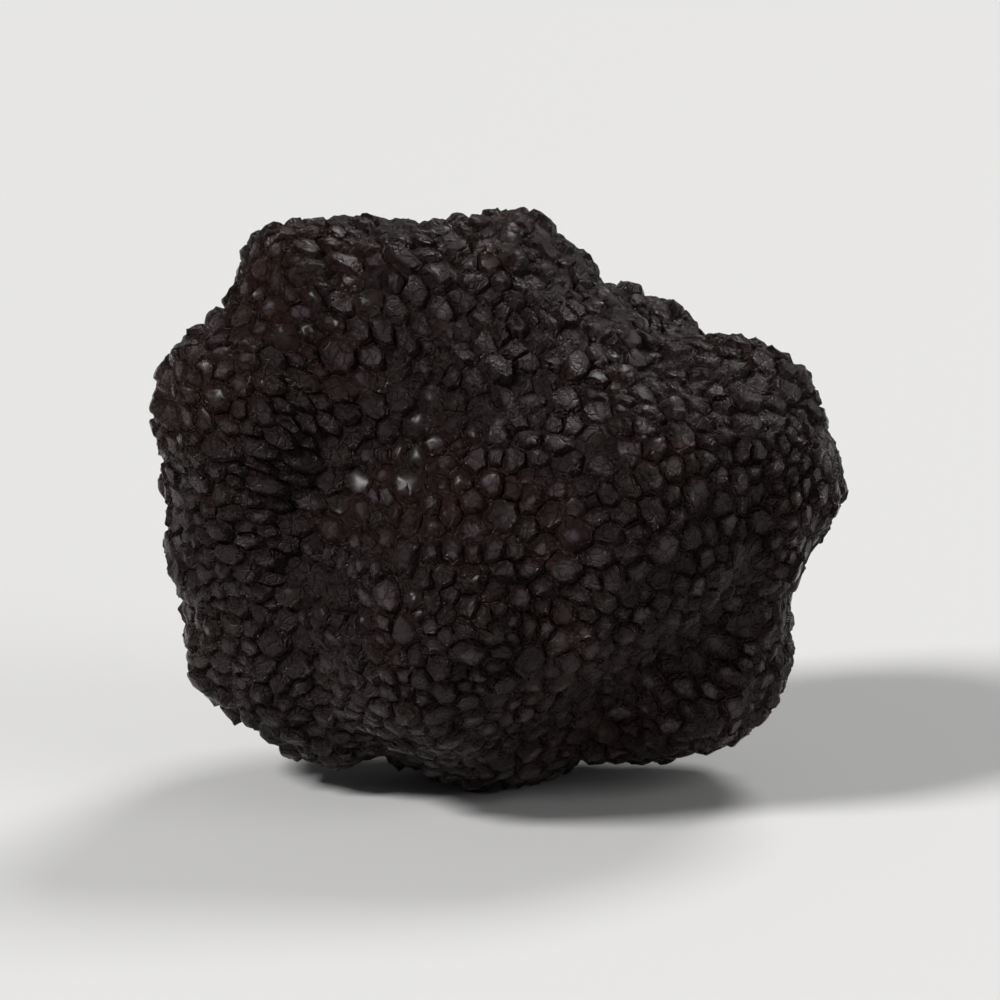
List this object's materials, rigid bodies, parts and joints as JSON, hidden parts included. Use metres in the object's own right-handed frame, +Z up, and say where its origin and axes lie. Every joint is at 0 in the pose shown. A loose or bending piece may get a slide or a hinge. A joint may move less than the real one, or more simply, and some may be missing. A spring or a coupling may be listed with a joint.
{
  "type": "black truffle",
  "caption": "Whole black truffle: one knobbly, lobed body covered all over in low many-sided warts, resting on a small flat spot.",
  "frame": {"origin": "on the surface that the truffle rests on, under the middle of its outline", "axes": "+Z up from the resting spot; +X along the longest extent, towards the right cheek; -Y out of the side with the crown fold and the left shoulder, which faces the camera"},
  "size_m": [0.058, 0.047, 0.0485],
  "materials": {
    "warty_skin": "satin"
  },
  "bodies": {
    "root": {"truffle": "warty_skin"}
  },
  "joints": []
}
